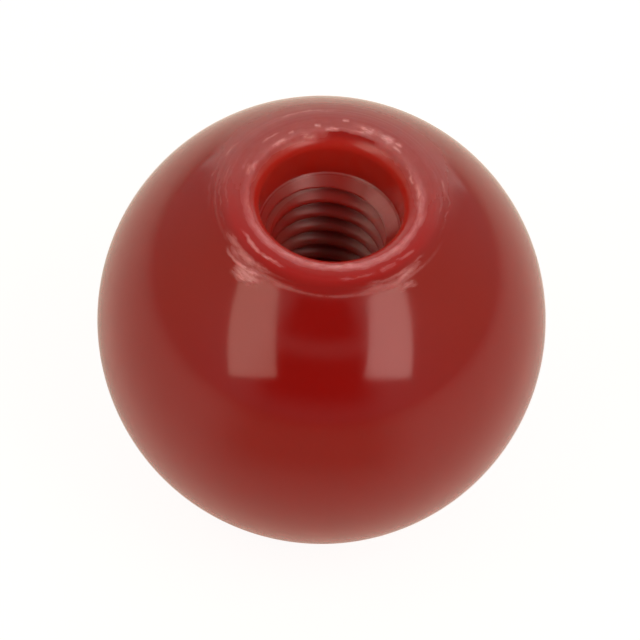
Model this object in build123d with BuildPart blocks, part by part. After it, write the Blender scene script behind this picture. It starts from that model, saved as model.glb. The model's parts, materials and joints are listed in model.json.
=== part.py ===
from build123d import *
import math
import os

# Ball knob moulded in one piece from hard gloss plastic. A low turned collar surrounds the mouth, a smooth
# recess takes the end of the lever, and a countersink leads into a blind hole for a metric thread.
# Sizes are in millimetres. The origin is the lowest point of the ball, and +Z runs up the axis of the hole.

# Ball
ball_diameter = 20.0

# Blind hole, at the core size of a metric coarse thread
thread_diameter = 6.0
thread_pitch = 1.0
thread_length = 9.0
countersink_angle = 90.0
hole_end_chamfer = 0.4

# Straight recess that clears the lever, with a broad soft lip
recess_clearance = 0.3  # on the diameter
recess_depth = 2.18
lip_rounding = 0.7

# Collar: a narrow flat land around the lip, and a crown that curves down from it to the ball
land_width = 0.3
crown_width = 1.0
crown_drop = 0.28

# Radii worked out from the sizes above
ball_radius = ball_diameter / 2
thread_height_share = 5 / 8 * math.sqrt(3) / 2  # height of an internal metric thread, as a share of its pitch
core_radius = thread_diameter / 2 - thread_height_share * thread_pitch
recess_radius = (thread_diameter + recess_clearance) / 2
land_radius = recess_radius + lip_rounding + land_width
collar_radius = land_radius + crown_width

# Heights above the lowest point of the ball
ring_height = ball_radius + math.sqrt(ball_radius**2 - collar_radius**2)
land_height = ring_height + crown_drop
foot_height = land_height - recess_depth
countersink_depth = (recess_radius - core_radius) / math.tan(math.radians(countersink_angle / 2))

with BuildPart() as ball_knob:
    # Half section of the ball, the collar and the recess, turned about the axis
    with BuildSketch(Plane.XZ):
        with BuildLine():
            ball = ThreePointArc((0, 0), (ball_radius, ball_radius), (collar_radius, ring_height))
            crown = TangentArc((land_radius, land_height), ball @ 1, tangent=(1, 0))
            Polyline(
                crown @ 0,
                (recess_radius, land_height),
                (recess_radius, foot_height),
                (0, foot_height),
                ball @ 0,
            )
        make_face()
    revolve(axis=Axis.Z)

    # Countersink at the foot of the recess, and the blind hole under it
    with Locations((0, 0, foot_height)):
        CounterSinkHole(
            radius=core_radius,
            counter_sink_radius=recess_radius,
            depth=countersink_depth + thread_length,
            counter_sink_angle=countersink_angle,
        )

    # Hole end, the lowest flat face, with the chamfer that a moulding pin leaves
    hole_end = ball_knob.faces().filter_by(GeomType.PLANE).sort_by(Axis.Z)[0]
    chamfer(hole_end.edges(), hole_end_chamfer)

    # Soft lip on the inner edge of the land, the highest flat face
    land = ball_knob.faces().filter_by(GeomType.PLANE).sort_by(Axis.Z)[-1]
    fillet(land.edges().sort_by(SortBy.RADIUS)[0], lip_rounding)

ball_knob.part.label = "ball_knob"

os.makedirs("parts", exist_ok=True)
export_step(ball_knob.part, "parts/ball_knob.step")
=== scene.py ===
import json
import math

import bpy
from mathutils import Matrix, Vector


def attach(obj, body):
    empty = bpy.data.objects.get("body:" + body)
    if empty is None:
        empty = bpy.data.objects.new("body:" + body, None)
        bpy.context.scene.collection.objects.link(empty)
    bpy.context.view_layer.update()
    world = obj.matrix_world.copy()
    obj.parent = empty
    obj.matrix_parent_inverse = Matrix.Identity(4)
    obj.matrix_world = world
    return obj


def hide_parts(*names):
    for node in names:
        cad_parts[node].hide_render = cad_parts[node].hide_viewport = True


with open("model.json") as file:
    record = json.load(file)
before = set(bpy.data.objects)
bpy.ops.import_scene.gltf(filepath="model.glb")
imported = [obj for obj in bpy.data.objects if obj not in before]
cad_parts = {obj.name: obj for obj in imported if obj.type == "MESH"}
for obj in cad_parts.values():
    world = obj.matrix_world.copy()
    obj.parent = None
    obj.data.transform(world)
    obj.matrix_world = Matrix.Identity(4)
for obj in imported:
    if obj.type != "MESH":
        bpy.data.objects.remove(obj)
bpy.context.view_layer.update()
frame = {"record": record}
print("frame loaded: the solid knob, its thread mount and its collar land")

mm = 0.001
mounts = {mount["name"]: mount for mount in frame["record"]["mounts"]}
thread = mounts["lever_thread"]
recess = mounts["lever_recess"]
land = mounts["collar_land"]

# Sizes of the knob in millimetres. Those of the hole and the land come from the frame's mounts.
knob = {
    "ballRadius": 10.0,
    "collarRadius": 5.15,
    "landHeight": land["pos_m"][2] / mm,
    "landMiddle": land["pos_m"][0] / mm,
    "recessRadius": recess["dims"]["r_mm"],
    "recessTop": recess["pos_m"][2] / mm,        # where the straight wall ends and the lip begins
    "recessLength": recess["dims"]["length_mm"],
    "footRounding": 0.06,                        # soft corner where the recess meets the countersink
    "coreRadius": thread["dims"]["r_mm"],
    "threadTop": thread["pos_m"][2] / mm,
    "threadLength": thread["dims"]["length_mm"],
    "holeEndChamfer": 0.4,
    "segments": 240,                             # faces round the axis
    "ballRows": 84,                              # and rows of faces in each part of the half section
    "crownRows": 44,
    "landRows": 2,
    "lipRows": 16,
    "wallRows": 12,
    "footRows": 4,
    "chamferRows": 3,
    "holeEndRows": 5,
}

# Grooves that the turning tool left on the collar: radius, depth and half width
toolGrooves = ((4.40, 0.004, 0.08), (4.62, 0.003, 0.07), (4.92, 0.005, 0.09), (5.14, 0.006, 0.08))

# The turns of the right-hand thread
turns = {
    "majorRadius": 3.0,
    "pitch": 1.0,
    "crestShare": 0.25,          # flat left on the crest, as a share of the pitch
    "rootShare": 0.125,          # flat at the root of the groove
    "softness": 0.25,            # rounding of a moulded thread's corners, as a share of the pitch
    "startAngle": -50.0,         # degrees, where a crest's middle passes the countersink's foot
    "fadeLength": 1.0,           # the groove runs out this far above the hole's end
    "rowsPerPitch": 21,
}


# A share of the way from one value to another, for numbers and sockets alike
def between(first, second, share):
    return first + (second - first) * share


def smoothStep(value, low, high):
    share = min(1.0, max(0.0, (value - low) / (high - low)))
    return share * share * (3 - 2 * share)


# Rows of an arc in the knob's half section, from one angle to another, in degrees from the radial line
def arcRows(centre, radius, start, end, count):
    rows = []
    for step in range(count + 1):
        angle = math.radians(start + (end - start) * step / count)
        rows.append((centre[0] + radius * math.cos(angle), centre[1] + radius * math.sin(angle)))
    return rows


def straightRows(start, end, count):
    shares = [step / count for step in range(count + 1)]
    return [(between(start[0], end[0], share), between(start[1], end[1], share)) for share in shares]


# Rows of a rounded corner at a point where two straight runs meet
def cornerRows(before, corner, after, radius, count):
    corner = Vector(corner)
    toBefore = (Vector(before) - corner).normalized()
    toAfter = (Vector(after) - corner).normalized()
    half = toBefore.angle(toAfter) / 2
    centre = corner + (toBefore + toAfter).normalized() * radius / math.sin(half)
    start = corner + toBefore * radius / math.tan(half) - centre
    end = corner + toAfter * radius / math.tan(half) - centre
    sweep = start.angle_signed(end)
    rows = []
    for step in range(count + 1):
        spoke = Matrix.Rotation(-sweep * step / count, 2) @ start
        rows.append((centre.x + spoke.x, centre.y + spoke.y))
    return rows


# Radius of the thread's wall at a height and an angle: the core at a crest, the major radius in a groove
def threadRadius(height, angle):
    turned = (angle - math.radians(turns["startAngle"])) / math.tau
    phase = ((height - knob["threadTop"]) / turns["pitch"] - turned) % 1.0
    away = min(phase, 1 - phase)         # 0 in the middle of a crest, 0.5 in the middle of a groove
    flankStart = turns["crestShare"] / 2 - turns["softness"] / 2
    flankEnd = 0.5 - turns["rootShare"] / 2 + turns["softness"] / 2
    share = min(1.0, max(0.0, (away - flankStart) / (flankEnd - flankStart)))
    # a straight flank with its two ends eased
    ease = turns["softness"] / (flankEnd - flankStart)
    if share < ease:
        share = share * share / (2 * ease)
    elif share > 1 - ease:
        share = 1 - ease - (1 - share) ** 2 / (2 * ease)
    else:
        share = share - ease / 2
    depth = share / (1 - ease) * (turns["majorRadius"] - knob["coreRadius"])
    end = knob["threadTop"] - knob["threadLength"]
    return knob["coreRadius"] + depth * smoothStep(height, end, end + turns["fadeLength"])


# How far the tool's grooves cut into the collar at a radius
def grooveDepth(radius):
    depth = 0.0
    for middle, deepest, reach in toolGrooves:
        depth += deepest * (1 - smoothStep(abs(radius - middle), 0, reach))
    return depth


# Half section from the ball's lowest point over the collar and down the recess, in rows of (radius, height)
def outerRows():
    ball = knob["ballRadius"]
    ring = math.sqrt(ball ** 2 - knob["collarRadius"] ** 2) + ball     # height of the collar's outer edge
    ringAngle = math.degrees(math.acos(knob["collarRadius"] / ball))
    top = knob["landHeight"]
    lip = top - knob["recessTop"]
    landInner = knob["recessRadius"] + lip
    landOuter = 2 * knob["landMiddle"] - landInner
    reach = knob["collarRadius"] - landOuter
    crown = (reach ** 2 + (top - ring) ** 2) / (2 * (top - ring))      # its radius; it is level at the land
    slope = math.degrees(math.asin(reach / crown))
    rows = arcRows((0, ball), ball, -90, ringAngle, knob["ballRows"])[1:]
    crownArc = arcRows((landOuter, top - crown), crown, 90 - slope, 90, knob["crownRows"])[1:]
    rows += [(radius, height - grooveDepth(radius)) for radius, height in crownArc]
    rows += straightRows(rows[-1], (landInner, top), knob["landRows"])[1:]
    rows += arcRows((landInner, top - lip), lip, 90, 180, knob["lipRows"])[1:]
    wallTop = rows[-1]
    foot = (knob["recessRadius"], knob["recessTop"] - knob["recessLength"])
    downCone = (foot[0] - 1, foot[1] - 1)                              # the countersink slopes at 45 degrees
    corner = cornerRows(wallTop, foot, downCone, knob["footRounding"], knob["footRows"])
    rows += straightRows(wallTop, corner[0], knob["wallRows"])[1:-1] + corner
    return rows


# Vertices and faces of the whole moulding. The threaded part has its radius worked out at each angle.
def knobMesh():
    count = knob["segments"]
    angles = [math.tau * step / count for step in range(count)]
    outer = outerRows()
    wallTop = outer[-1][1]
    wallEnd = knob["threadTop"] - knob["threadLength"]
    holeEnd = wallEnd - knob["holeEndChamfer"]
    endRadius = knob["coreRadius"] - knob["holeEndChamfer"]
    inner = straightRows((knob["coreRadius"], wallEnd), (endRadius, holeEnd), knob["chamferRows"])[1:]
    inner += straightRows((endRadius, holeEnd), (0, holeEnd), knob["holeEndRows"])[1:-1]

    # rings of vertices: a radius for each angle, and a height
    rings = [([radius] * count, height) for radius, height in outer]
    steps = round((wallTop - wallEnd) / turns["pitch"] * turns["rowsPerPitch"])
    for step in range(1, steps + 1):
        height = wallTop + (wallEnd - wallTop) * step / steps
        cone = knob["coreRadius"] + height - knob["threadTop"]         # radius of the countersink
        rings.append(([max(cone, threadRadius(height, angle)) for angle in angles], height))
    rings += [([radius] * count, height) for radius, height in inner]

    points = [(0, 0, 0)]
    for radii, height in rings:
        for radius, angle in zip(radii, angles):
            points.append((radius * math.cos(angle), radius * math.sin(angle), height))
    points.append((0, 0, holeEnd))

    faces = []
    for step in range(count):
        following = (step + 1) % count
        faces.append((0, 1 + following, 1 + step))
        for row in range(len(rings) - 1):
            first = 1 + row * count
            second = first + count
            faces.append((first + step, first + following, second + following, second + step))
        final = 1 + (len(rings) - 1) * count
        faces.append((final + step, final + following, len(points) - 1))
    return [tuple(part * mm for part in point) for point in points], faces


def buildKnob():
    points, faces = knobMesh()
    mesh = bpy.data.meshes.new("ball_knob_moulding")
    mesh.from_pydata(points, [], faces)
    mesh.polygons.foreach_set("use_smooth", [True] * len(mesh.polygons))
    mesh.update()
    piece = bpy.data.objects.new("ball_knob_moulding", mesh)
    bpy.context.scene.collection.objects.link(piece)
    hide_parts("ball_knob")
    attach(piece, "root")
    return piece


# One socket. Plain arithmetic on it adds Math nodes.
class Wire:
    def __init__(self, sheet, socket):
        self.sheet = sheet
        self.socket = socket

    def maths(self, operation, *values):
        return self.sheet.add("ShaderNodeMath", {"operation": operation}, dict(enumerate(values)))

    def __add__(self, other):
        return self.maths("ADD", self, other)

    def __sub__(self, other):
        return self.maths("SUBTRACT", self, other)

    def __rsub__(self, other):
        return self.maths("SUBTRACT", other, self)

    def __mul__(self, other):
        return self.maths("MULTIPLY", self, other)

    def __truediv__(self, other):
        return self.maths("DIVIDE", self, other)

    def __rtruediv__(self, other):
        return self.maths("DIVIDE", other, self)

    def __pow__(self, other):
        return self.maths("POWER", self, other)

    def __abs__(self):
        return self.maths("ABSOLUTE", self)

    __radd__ = __add__
    __rmul__ = __mul__

    # 0 below the first value, 1 above the second, with a soft step between
    def step(self, low, high):
        settings = {"interpolation_type": "SMOOTHSTEP"}
        sockets = {"Value": self, "From Min": low, "From Max": high}
        return self.sheet.add("ShaderNodeMapRange", settings, sockets)

    # 1 at a middle value, falling to 0 at a distance from it
    def band(self, middle, reach):
        return 1 - abs(self - middle).step(0.0, reach)


# One node tree. Every node that isn't plain arithmetic comes from add().
class Sheet:
    def __init__(self, tree):
        self.tree = tree
        tree.nodes.clear()

    # a node's type, its settings, which are set first, and the values or links of its sockets
    def add(self, kind, settings, sockets, output=0):
        node = self.tree.nodes.new(kind)
        for name, value in settings.items():
            setattr(node, name, value)
        for name, value in sockets.items():
            if isinstance(value, Wire):
                self.tree.links.new(value.socket, node.inputs[name])
            else:
                node.inputs[name].default_value = value
        return Wire(self, node.outputs[output]) if node.outputs else node

    def parts(self, vector):
        return [self.add("ShaderNodeSeparateXYZ", {}, {"Vector": vector}, axis) for axis in "XYZ"]

    def noise(self, vector, scale, detail, roughness):
        sockets = {"Vector": vector, "Scale": scale, "Detail": detail, "Roughness": roughness}
        return self.add("ShaderNodeTexNoise", {}, sockets)

    # a Mix node keeps one set of sockets for each data type, so the colour ones go by place
    def mixColour(self, share, first, second):
        first, second = (value if isinstance(value, Wire) else (*value, 1.0) for value in (first, second))
        return self.add("ShaderNodeMix", {"data_type": "RGBA"}, {0: share, 6: first, 7: second}, 2)

    # a Mix Shader's two shaders share a name, so they go by place as well
    def mixShader(self, share, first, second):
        return self.add("ShaderNodeMixShader", {}, {0: share, 1: first, 2: second})


# Finish of the red gloss moulding. Radii, heights and depths are in millimetres. A turn and a length round
# the axis are in degrees from the camera's side, with positive turns to the right. Paleness and wear go from
# 0 to 1.
finish = {
    "deepRed": (0.278, 0.0048, 0.0034),
    "collarRed": (0.37, 0.010, 0.009),         # the turned collar's near side, painted a lighter red: painted light on that side
    "wallRed": (0.43, 0.023, 0.014),           # the recess's wall, painted lighter: a painted glow for the light through the plastic
    "threadRed": (0.315, 0.028, 0.023),        # the countersink and the thread, painted a lighter red: a painted glow in the hole
    "dustyRed": (0.50, 0.095, 0.082),          # the deeper turns, painted paler: painted light in the shade deep in the hole
    # pale pink of wear and of painted highlights and reflections
    "wornPink": (0.69, 0.345, 0.36),
    "lipPink": (0.74, 0.37, 0.42),
    "gloss": 0.10,                             # roughness of the ball
    "glossSpread": 0.05,                       # smudges make the gloss this much duller
    "smudgeLevels": (0.4, 0.7),                # between which their noise goes from clean to dull
    "collarRoughness": 0.22,
    "lipRoughness": 0.24,
    "sinkRoughness": 0.32,                     # the countersink
    "threadRoughness": 0.25,
    "threadShine": 0.25,                       # the mould was left dull there; 0.5 is plain plastic
    "wornRoughness": 0.5,
    "wornGloss": (0.02, 0.25),                 # shares of the pale marks, wear and painted highlights, over which the gloss goes
    "peelDepth": 0.0009,                       # ripple of a moulded surface
    "ringDepth": 0.006,
    "scratchDepth": 0.4,                       # as a share of the rings' depth
    "ior": 1.46,
    "seeThrough": 1.0,                         # share of the light that goes into the plastic and comes back
    "seeThroughDepth": 1.3,
    "seeThroughColour": (1.0, 0.1, 0.06),
    # where each kind of surface begins or ends: two radii or heights, with a soft step between them
    "collarInside": (3.2, 3.5),
    "collarOutside": (5.05, 5.4),
    "collarBottom": (18.0, 18.2),
    "collarFade": (4.4, 4.9),                  # the collar's painted lighter red ends
    "holeOutside": (3.08, 3.14),
    "holeTop": (16.5, 16.7),
    "holeBottom": (6.5, 6.6),
    "threadTop": (15.7, 15.9),
    "dustTop": (11.8, 15.2),
    "wallOutside": (3.18, 3.64),
    "wallBottom": (16.6, 16.7),
    "wallGlow": (16.7, 17.5),                  # above these heights the wall's painted glow is full; lower down it fades, a painted shade at the foot
    "lipOutside": (3.75, 3.95),
    "lipBottom": (17.7, 18.1),
    "farSide": (-0.6, 0.8),                    # from -1 at the camera's side to 1 at the far side
    # and where the pale places, wear with painted highlights and reflections, do
    "farWearInside": (3.25, 3.72),
    "farWearInner": (4.1, 4.5),                # paler inside this
    "farWearOutside": (5.5, 6.6),
    "farWearBottom": (17.5, 18.0),
    "notchInside": (3.63, 3.77),
    "lipWearInside": (3.61, 3.76),
    "lipWearOutside": (3.80, 4.11),
    "lipWearBottom": (18.3, 18.5),
    "rubsBottom": (17.7, 18.0),
    "footInside": (2.9, 3.0),
    "footOutside": (3.2, 3.3),
    # how the pale places are painted: wear, painted highlights and painted reflections
    "stray": 0.4,                              # the edges wander this far
    "farPale": 0.145,
    "farInnerPale": 0.05,
    "farNarrowing": 1.5,                       # the outer edge comes in by this much towards the front
    "farLevel": 0.5,
    "farGrain": 0.6,                           # what scratches and mottle add to that level
    "notch": (170, 42, 0.6),                   # red bite in it: turn, length and the share that is level
    "lipPale": 0.57,
    "lipFarLoss": 0.47,                        # the lip's ring is weaker on the far side
    "lipShift": 0.07,                          # and lies this much to the right
    "lipGap": (-90, 80),                       # and is thin here
    "lipGapLoss": 0.6,
    "lipScratches": (0.55, 0.50, 0.35, 0.65),  # least share, what scratches add, levels of their noise
    "rubScratches": (0.35, 0.85, 0.38, 0.60),
    "lineReach": 0.10,
    "holeRub": (122, 62, 0.2),                 # a painted highlight on the hole's right-hand side, for the lamps' reflections there
    "holePale": 0.5,
    "holeThreadLoss": 0.21,                    # less in the thread
    "holeLevel": 0.6,
    "holeMottle": 0.8,
    "holeDull": (163, 52, 0.3),                # the countersink is as dull as the thread here
    "footHeight": 16.64,                       # the edge where the recess meets the countersink
    "footReach": 0.07,
    "footPale": 0.16,
    "footLevel": 0.4,
    "wallFootRed": 0.75,                       # share of the wall's painted glow left at its foot, a painted shade there
    # noises: cells to a millimetre, detail and roughness
    "mottleNoise": (1.7, 4.0, 0.65),
    "strayNoise": (1.2, 2.0, 0.5),
    "smudgeNoise": (0.35, 3.0, 0.6),
    "peelNoise": (1 / 0.9, 1.0, 0.5),
    # those stretched by turning: cells to a millimetre outwards, cells to a radian round, detail, roughness
    "ringNoise": (9.0, 1.6, 4.0, 0.6),
    "scratchNoise": (6.0, 6.0, 4.0, 0.65),
}

# Fine lines that were turned in the collar: turn, length and level share, then radius and paleness
turnedLines = ((8, 134, 0.5, 5.16, 0.3), (-85, 60, 0.3, 5.06, 0.12))

# Places where the collar is painted pale, for rubs and for painted highlights of the lamps: turn and length,
# then radius and width in millimetres, and paleness
paleMarkPlaces = (
    # near side, left
    (-42, 40, 4.35, 0.20, 0.60), (-33, 16, 4.37, 0.22, 0.34), (-47, 38, 4.93, 0.46, 0.40),
    (-36, 20, 4.90, 0.24, 0.22), (-43, 28, 5.28, 0.20, 0.52), (-38, 18, 5.46, 0.66, 0.62),
    (-43, 30, 5.10, 0.34, 0.20), (-38, 11, 5.64, 0.36, 0.34), (-28, 30, 5.15, 0.34, 0.16),
    (-101, 16, 4.72, 0.14, 0.16),
    # near side, right
    (37, 13, 4.46, 0.30, 0.40), (50, 16, 4.38, 0.24, 0.30), (18, 26, 4.42, 0.30, 0.16),
    (40, 40, 4.85, 0.20, 0.36), (46, 18, 5.02, 0.34, 0.44), (33, 34, 5.10, 0.46, 0.26),
    (41, 11, 5.42, 0.28, 0.42),
    # faint turning marks at both sides
    (-84, 64, 4.86, 0.16, 0.07), (-96, 50, 4.58, 0.18, 0.08), (-104, 56, 5.30, 0.20, 0.06),
    (102, 56, 4.70, 0.16, 0.06), (92, 44, 5.02, 0.16, 0.07),
    # inner lip, near side
    (11, 18, 3.75, 0.30, 0.80), (-9, 10, 3.75, 0.28, 0.26), (-24, 20, 3.76, 0.28, 0.20),
    (38, 44, 3.98, 0.40, 0.22), (97, 24, 3.78, 0.32, 0.42), (-75, 20, 3.64, 0.20, 0.24),
    # far side, right
    (112, 9, 3.66, 0.26, 0.50), (119, 12, 3.72, 0.20, 0.30), (105, 12, 4.92, 0.20, 0.28),
    (138, 9, 3.95, 0.26, 0.48), (140, 6, 4.22, 0.26, 0.58), (148, 10, 4.14, 0.58, 0.42),
    (162, 10, 4.04, 0.62, 0.62), (154, 40, 4.12, 0.60, 0.24), (176, 5, 4.32, 0.28, 0.66),
    (172, 30, 3.86, 0.18, 0.30),
    # far side, left
    (184, 11, 3.78, 0.26, 0.70), (-167, 5, 4.00, 0.28, 0.66), (-149, 5, 3.93, 0.28, 0.40),
    (-138, 14, 3.74, 0.26, 0.46), (-160, 14, 3.58, 0.26, 0.46), (-112, 11, 3.72, 0.28, 0.34),
    (-107, 11, 3.88, 0.28, 0.36), (-136, 16, 4.18, 0.18, 0.28), (-118, 14, 5.15, 0.24, 0.28),
    (-150, 44, 3.68, 0.32, 0.08), (-110, 10, 4.10, 0.20, 0.26), (-155, 60, 5.00, 0.60, 0.10),
    (-163, 36, 5.04, 0.28, 0.22),
)


def redPlastic():
    material = bpy.data.materials.new("glossy_red_moulding")
    material.use_nodes = True
    sheet = Sheet(material.node_tree)
    place = sheet.add("ShaderNodeTexCoord", {}, {}, "Object")
    place = sheet.add("ShaderNodeVectorMath", {"operation": "SCALE"}, {"Vector": place, "Scale": 1 / mm})
    x, y, z = sheet.parts(place)
    radius = (x * x + y * y) ** 0.5
    sideways = x / radius
    away = y / radius

    def beyond(value, name):
        return value.step(*finish[name])

    def inside(value, name):
        return 1 - beyond(value, name)

    # 1 at a turn round the axis, falling to 0 at half a length from it, with a level share in the middle
    def near(turn, length, level=0.0):
        angle = math.radians(turn)
        facing = sideways * math.sin(angle) - away * math.cos(angle)
        return facing.step(math.cos(math.radians(length / 2)), math.cos(math.radians(length / 2 * level)))

    def turnedNoise(outwards, around, detail, roughness):
        spread = {"X": radius * outwards, "Y": sideways * around, "Z": away * around}
        return sheet.noise(sheet.add("ShaderNodeCombineXYZ", {}, spread), 1.0, detail, roughness)

    # masks of the knob's parts
    onCollar = inside(radius, "collarOutside") * beyond(radius, "collarInside") * beyond(z, "collarBottom")
    inHole = inside(radius, "holeOutside") * inside(z, "holeTop") * beyond(z, "holeBottom")
    inThread = inHole * inside(z, "threadTop")
    glowingWall = inside(radius, "wallOutside") * beyond(z, "wallBottom")
    onLip = inside(radius, "lipOutside") * beyond(z, "lipBottom")
    farSide = beyond(away, "farSide")

    rings = turnedNoise(*finish["ringNoise"])
    scratches = turnedNoise(*finish["scratchNoise"])
    mottle = sheet.noise(place, *finish["mottleNoise"])
    wander = radius + (sheet.noise(place, *finish["strayNoise"]) - 0.5) * finish["stray"]

    def scratched(least, added, low, high):
        return least + scratches.step(low, high) * added

    # the pale ring round the far side, wear and a painted reflection of the back wall, and the bite in it
    notch = near(*finish["notch"])
    farStart = beyond(wander, "farWearInside") * (1 - notch) + beyond(wander, "notchInside") * notch
    farEnd = inside(wander + (1 - farSide) * finish["farNarrowing"], "farWearOutside")
    farWearAndReflection = farSide * farStart * farEnd * beyond(z, "farWearBottom")
    farWearAndReflection = farWearAndReflection * (finish["farPale"] + finish["farInnerPale"] * inside(wander, "farWearInner"))
    wearAndHighlights = farWearAndReflection * (finish["farLevel"] + scratches * finish["farGrain"] + mottle * finish["farGrain"])

    # the pale ring on the lip: wear and a painted highlight
    lipRadius = (radius + wander) * 0.5 - sideways * finish["lipShift"]
    lipWearAndHighlight = beyond(lipRadius, "lipWearInside") * inside(lipRadius, "lipWearOutside")
    lipWearAndHighlight = lipWearAndHighlight * beyond(z, "lipWearBottom") * (finish["lipPale"] - farSide * finish["lipFarLoss"])
    lipWearAndHighlight = lipWearAndHighlight * (1 - near(*finish["lipGap"]) * finish["lipGapLoss"])
    lipWearAndHighlight = lipWearAndHighlight * scratched(*finish["lipScratches"])

    # pale marks on the collar, rubs and painted highlights, and fine lines
    onTop = beyond(z, "rubsBottom")
    paleMarks = 0.0
    for turn, length, middle, width, pale in paleMarkPlaces:
        paleMarks = paleMarks + near(turn, length) * wander.band(middle, width / 2) * pale
    wearAndHighlights = wearAndHighlights + paleMarks * onTop * scratched(*finish["rubScratches"])
    for turn, length, level, middle, pale in turnedLines:
        line = radius.band(middle, finish["lineReach"]) * near(turn, length, level)
        wearAndHighlights = wearAndHighlights + line * onTop * mottle * pale

    # a painted highlight on the hole's right-hand side, and a pale line along the edge over the countersink
    holeHighlight = inHole * near(*finish["holeRub"]) * (finish["holePale"] - inThread * finish["holeThreadLoss"])
    holeHighlight = holeHighlight * (finish["holeLevel"] + mottle * finish["holeMottle"])
    footEdge = z.band(finish["footHeight"], finish["footReach"])
    footEdge = footEdge * beyond(radius, "footInside") * inside(radius, "footOutside")
    wearAndHighlights = wearAndHighlights + footEdge * finish["footPale"] * (finish["footLevel"] + mottle)

    # colours, each laid over those before it
    # the hole's reds are a painted glow and the deeper turns painted light; the collar's near red is painted
    # light; the pinks are wear with painted highlights and reflections
    layers = (
        (onCollar * inside(radius, "collarFade") * (1 - farSide), "collarRed"),
        (inHole, "threadRed"),
        (inThread * inside(z, "dustTop"), "dustyRed"),
        (holeHighlight, "wornPink"),
        (glowingWall * between(finish["wallFootRed"], 1, beyond(z, "wallGlow")), "wallRed"),
        (lipWearAndHighlight, "lipPink"),
        (wearAndHighlights, "wornPink"),
    )
    colour = finish["deepRed"]
    for share, name in layers:
        colour = sheet.mixColour(share, colour, finish[name])

    smudges = sheet.noise(place, *finish["smudgeNoise"]).step(*finish["smudgeLevels"])
    roughness = finish["gloss"] + smudges * finish["glossSpread"]
    duller = (
        (onCollar, "collarRoughness"),
        (onLip, "lipRoughness"),
        (inHole, "sinkRoughness"),
        (inThread, "threadRoughness"),
        ((wearAndHighlights + lipWearAndHighlight).step(*finish["wornGloss"]), "wornRoughness"),
    )
    for share, name in duller:
        roughness = between(roughness, finish[name], share)

    peel = sheet.noise(place, *finish["peelNoise"]) * finish["peelDepth"]
    turned = (rings + scratches * finish["scratchDepth"]) * onCollar * finish["ringDepth"]
    bump = {"Strength": 1.0, "Distance": 1.0, "Height": (peel + turned) * mm}
    plastic = {
        "Base Color": colour,
        "Roughness": roughness,
        "Normal": sheet.add("ShaderNodeBump", {}, bump),
        "IOR": finish["ior"],
        "Subsurface Weight": finish["seeThrough"],
        "Subsurface Scale": finish["seeThroughDepth"] * mm,
        "Subsurface Radius": finish["seeThroughColour"],
    }
    dullPlastic = {**plastic, "Specular IOR Level": finish["threadShine"]}
    glossy = sheet.add("ShaderNodeBsdfPrincipled", {}, plastic)
    dull = sheet.add("ShaderNodeBsdfPrincipled", {}, dullPlastic)
    isDull = inThread + (inHole - inThread) * near(*finish["holeDull"])
    sheet.add("ShaderNodeOutputMaterial", {}, {"Surface": sheet.mixShader(isDull, glossy, dull)})
    return material


ballKnob = buildKnob()
ballKnob.data.materials.append(redPlastic())
print("knob moulding built:", len(ballKnob.data.polygons), "faces")

# Floor and surroundings: a pale light tent, open above and towards the camera. Turns round from the camera
# and heights above the horizon are in degrees, and distances in metres. A wall's number is its brightness.
tent = {
    "paper": (0.96, 0.95, 0.89),
    "frontPaper": (0.435, 0.49, 0.40),     # painted shade: the floor is darker on the camera's side
    "frontShadeTurn": (20.0, 50.0),
    "frontShadeStart": (0.01, 0.04),       # distance from the knob
    "farShade": 0.28,                      # and painted shade darkens it far from the knob
    "farShadeStart": (0.05, 0.25),
    "paperHalf": 3.0,
    "paperSeenWhite": 0.82,                # share of the floor that the camera sees as plain white
    "paperGlow": 1.08,
    "lightFromBelow": 0.05,                # the paper lies on a lit table
    "cloth": (1.0, 0.98, 0.90),
    "sideCloth": (1.0, 0.98, 0.72),
    "sideClothTurn": 90.0,
    "sideClothReach": 60.0,
    "sideWall": 0.60,
    "lowSideWall": 0.50,                   # near the floor
    "sideWallHeight": (3, 25),             # between the low part and the high one
    "backWall": 1.15,
    "backWallTurn": (140.0, 146.0),
    "highBackWall": 0.42,
    "highBackHeight": (38.0, 58.0),        # the back wall darkens between these heights
    "overhead": 0.22,
    "overheadHeight": (58.0, 72.0),
    "frontGap": 0.05,
    "frontGapTurn": (20.0, 40.0),
    "lowFront": 0.34,                      # the gap pales towards the floor
    "lowFrontHeight": (0, 17),
    "frontBar": 0.35,                      # a dim bar across the gap
    "frontBarHeight": 38.0,
    "frontBarReach": 8,
}


# Degrees round from the camera's side, 180 behind, and degrees above the horizon
def turnAndHeight(sheet, direction):
    x, y, z = sheet.parts(direction)
    degreesInRadian = 180 / math.pi
    turn = abs(x.maths("ARCTAN2", x, -1 * y)) * degreesInRadian
    return turn, z.maths("ARCSINE", z) * degreesInRadian


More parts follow.
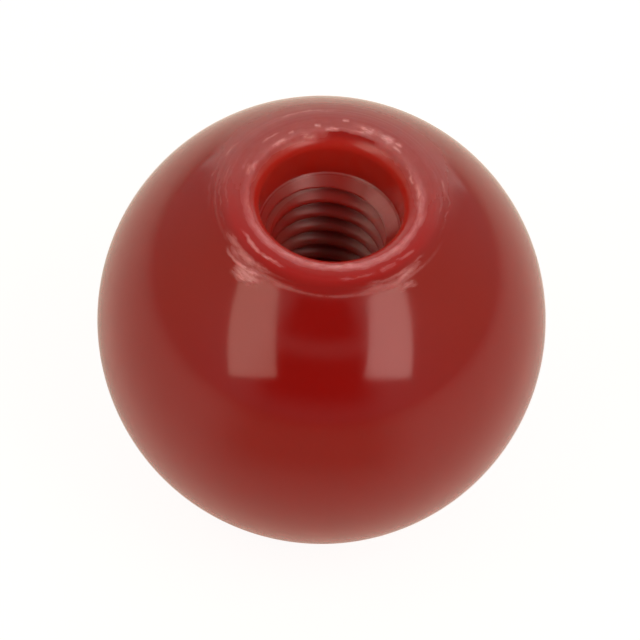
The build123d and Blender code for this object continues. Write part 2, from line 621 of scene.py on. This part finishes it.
def makeFloor():
    half = tent["paperHalf"]
    corners = [(-half, -half, 0), (half, -half, 0), (half, half, 0), (-half, half, 0)]
    mesh = bpy.data.meshes.new("pale_floor")
    mesh.from_pydata(corners, [], [(0, 1, 2, 3)])
    floor = bpy.data.objects.new("pale_floor", mesh)
    bpy.context.scene.collection.objects.link(floor)
    material = bpy.data.materials.new("pale_paper")
    material.use_nodes = True
    sheet = Sheet(material.node_tree)
    place = sheet.add("ShaderNodeTexCoord", {}, {}, "Object")
    turn = turnAndHeight(sheet, place)[0]
    distance = sheet.add("ShaderNodeVectorMath", {"operation": "LENGTH"}, {"Vector": place}, "Value")
    # painted shade on the floor, towards the camera and far from the knob
    front = (1 - turn.step(*tent["frontShadeTurn"])) * distance.step(*tent["frontShadeStart"])
    colour = sheet.mixColour(front, tent["paper"], tent["frontPaper"])
    colour = sheet.mixColour(distance.step(*tent["farShadeStart"]) * tent["farShade"], colour, (0, 0, 0))
    paper = sheet.add("ShaderNodeBsdfDiffuse", {}, {"Color": colour})
    fromBelow = sheet.add("ShaderNodeEmission", {}, {"Color": colour, "Strength": tent["lightFromBelow"]})
    paper = sheet.add("ShaderNodeAddShader", {}, {0: paper, 1: fromBelow})
    white = sheet.add("ShaderNodeEmission", {}, {"Strength": tent["paperGlow"]})
    seen = sheet.add("ShaderNodeLightPath", {}, {}, "Is Camera Ray") * tent["paperSeenWhite"]
    sheet.add("ShaderNodeOutputMaterial", {}, {"Surface": sheet.mixShader(seen, paper, white)})
    mesh.materials.append(material)


def makeTent():
    world = bpy.data.worlds.new("light_tent")
    bpy.context.scene.world = world
    world.use_nodes = True
    sheet = Sheet(world.node_tree)
    turn, height = turnAndHeight(sheet, sheet.add("ShaderNodeTexCoord", {}, {}, "Generated"))
    side = between(tent["lowSideWall"], tent["sideWall"], height.step(*tent["sideWallHeight"]))
    back = between(tent["backWall"], tent["highBackWall"], height.step(*tent["highBackHeight"]))
    wall = between(side, back, turn.step(*tent["backWallTurn"]))
    bar = height.band(tent["frontBarHeight"], tent["frontBarReach"])
    gap = between(tent["frontGap"], tent["frontBar"], bar)
    gap = between(gap, tent["lowFront"], 1 - height.step(*tent["lowFrontHeight"]))
    wall = between(wall, gap, 1 - turn.step(*tent["frontGapTurn"]))
    wall = between(wall, tent["overhead"], height.step(*tent["overheadHeight"]))
    seen = sheet.add("ShaderNodeLightPath", {}, {}, "Is Camera Ray")
    sides = turn.band(tent["sideClothTurn"], tent["sideClothReach"])
    colour = sheet.mixColour(sides, tent["cloth"], tent["sideCloth"])
    colour = sheet.mixColour(seen, colour, (1, 1, 1))       # the camera sees plain white behind the floor
    light = sheet.add("ShaderNodeBackground", {}, {"Color": colour, "Strength": between(wall, 1, seen)})
    sheet.add("ShaderNodeOutputWorld", {}, {"Surface": light})


# Softboxes on both sides of the camera. Directions are in degrees from the ball's middle, round from the
# camera and above the horizon. The bottom corners lie on a plane square to that direction, one unit away.
softboxes = {
    "left_softbox": {
        "round": -48.0,
        "bottom": ((-0.506, -0.242), (-0.094, -0.468)),
        "lean": 4.2,
        "glow": 1.9,
        "tint": (1.42, 1.0, 0.80),
    },
    "right_softbox": {
        "round": 48.0,
        "bottom": ((0.002, -0.392), (0.386, -0.204)),
        "lean": -1.2,
        "glow": 2.6,
        "tint": (1.50, 1.0, 0.90),
    },
}
softboxStand = {
    "height": 35.0,
    "tilt": 11.0,                          # the top leans away from the ball
    "length": 1.3,
    "distance": 0.6,                       # metres to a unit
}
ballMiddle = Vector((0, 0, knob["ballRadius"] * mm))


def makeSoftbox(name, box):
    around, above = math.radians(box["round"]), math.radians(softboxStand["height"])
    lean, tilt = math.radians(box["lean"]), math.radians(softboxStand["tilt"])
    length, distance = softboxStand["length"], softboxStand["distance"]
    level = math.cos(above)
    outwards = Vector((math.sin(around) * level, -math.cos(around) * level, math.sin(above)))
    across = outwards.cross(Vector((0, 0, 1))).normalized()
    upwards = across.cross(outwards)
    first, second = (Vector(corner) for corner in box["bottom"])
    width = (second - first).length
    bottom = (second - first) / width
    middle = (first + second) / 2
    bottomLine = across * bottom.x + upwards * bottom.y
    sideLine = bottomLine.cross(outwards)
    boxX = sideLine * math.sin(lean) - bottomLine * math.cos(lean)
    boxY = sideLine * math.cos(lean) + bottomLine * math.sin(lean)
    boxY = boxY * math.cos(tilt) + outwards * math.sin(tilt)
    boxZ = boxX.cross(boxY)                # away from the ball, because a lamp shines along its own -Z
    centre = outwards + across * middle.x + upwards * middle.y + boxY * length / 2
    light = bpy.data.lights.new(name, "AREA")
    light.shape = "RECTANGLE"
    light.size = width * distance
    light.size_y = length * distance
    light.energy = box["glow"] * math.pi * light.size * light.size_y
    light.color = box["tint"]
    lamp = bpy.data.objects.new(name, light)
    bpy.context.scene.collection.objects.link(lamp)
    turn = Matrix((boxX, boxY, boxZ)).transposed().to_4x4()
    lamp.matrix_world = Matrix.Translation(ballMiddle + centre * distance) @ turn
    lamp.visible_camera = False


makeFloor()
makeTent()
for name, box in softboxes.items():
    makeSoftbox(name, box)
print("floor, tent and softboxes set")

# Camera at the photograph's angle. Its picture is square.
view = {
    "height": 53.1,                        # degrees above the horizon
    "lean": 5.0,                           # degrees that the knob's axis leans to the right in the picture
    "distance": 0.22,                      # metres from the ball's middle
    "pictureSide": 640,
    "ballRadiusPixels": 224.2,
    "ballMiddlePixels": (321.5, 319.8),
    "sensorWidth": 36.0,
    "clip": (0.01, 20.0),
}


def makeCamera():
    tilt, lean = math.radians(view["height"]), math.radians(view["lean"])
    back = Vector((0, -math.cos(tilt), math.sin(tilt)))
    levelRight = Vector((1, 0, 0))
    levelUp = Vector((0, math.sin(tilt), math.cos(tilt)))
    right = levelRight * math.cos(lean) + levelUp * math.sin(lean)
    up = levelUp * math.cos(lean) - levelRight * math.sin(lean)
    radius = knob["ballRadius"] * mm
    lensPixels = view["ballRadiusPixels"] * math.sqrt((view["distance"] / radius) ** 2 - 1)
    pixel = view["distance"] / lensPixels  # metres that a pixel covers at the ball's middle
    aside = (view["pictureSide"] / 2 - view["ballMiddlePixels"][0]) * pixel
    above = (view["ballMiddlePixels"][1] - view["pictureSide"] / 2) * pixel
    camera = bpy.data.cameras.new("photo_camera")
    camera.sensor_width = view["sensorWidth"]
    camera.lens = lensPixels / view["pictureSide"] * camera.sensor_width
    camera.clip_start, camera.clip_end = view["clip"]
    holder = bpy.data.objects.new("photo_camera", camera)
    bpy.context.scene.collection.objects.link(holder)
    place = ballMiddle + back * view["distance"] + right * aside + up * above
    turn = Matrix((right, up, back)).transposed().to_4x4()
    holder.matrix_world = Matrix.Translation(place) @ turn
    bpy.context.scene.camera = holder


makeCamera()
bpy.context.scene.view_settings.view_transform = "Standard"
print("camera set")

bpy.context.view_layer.update()
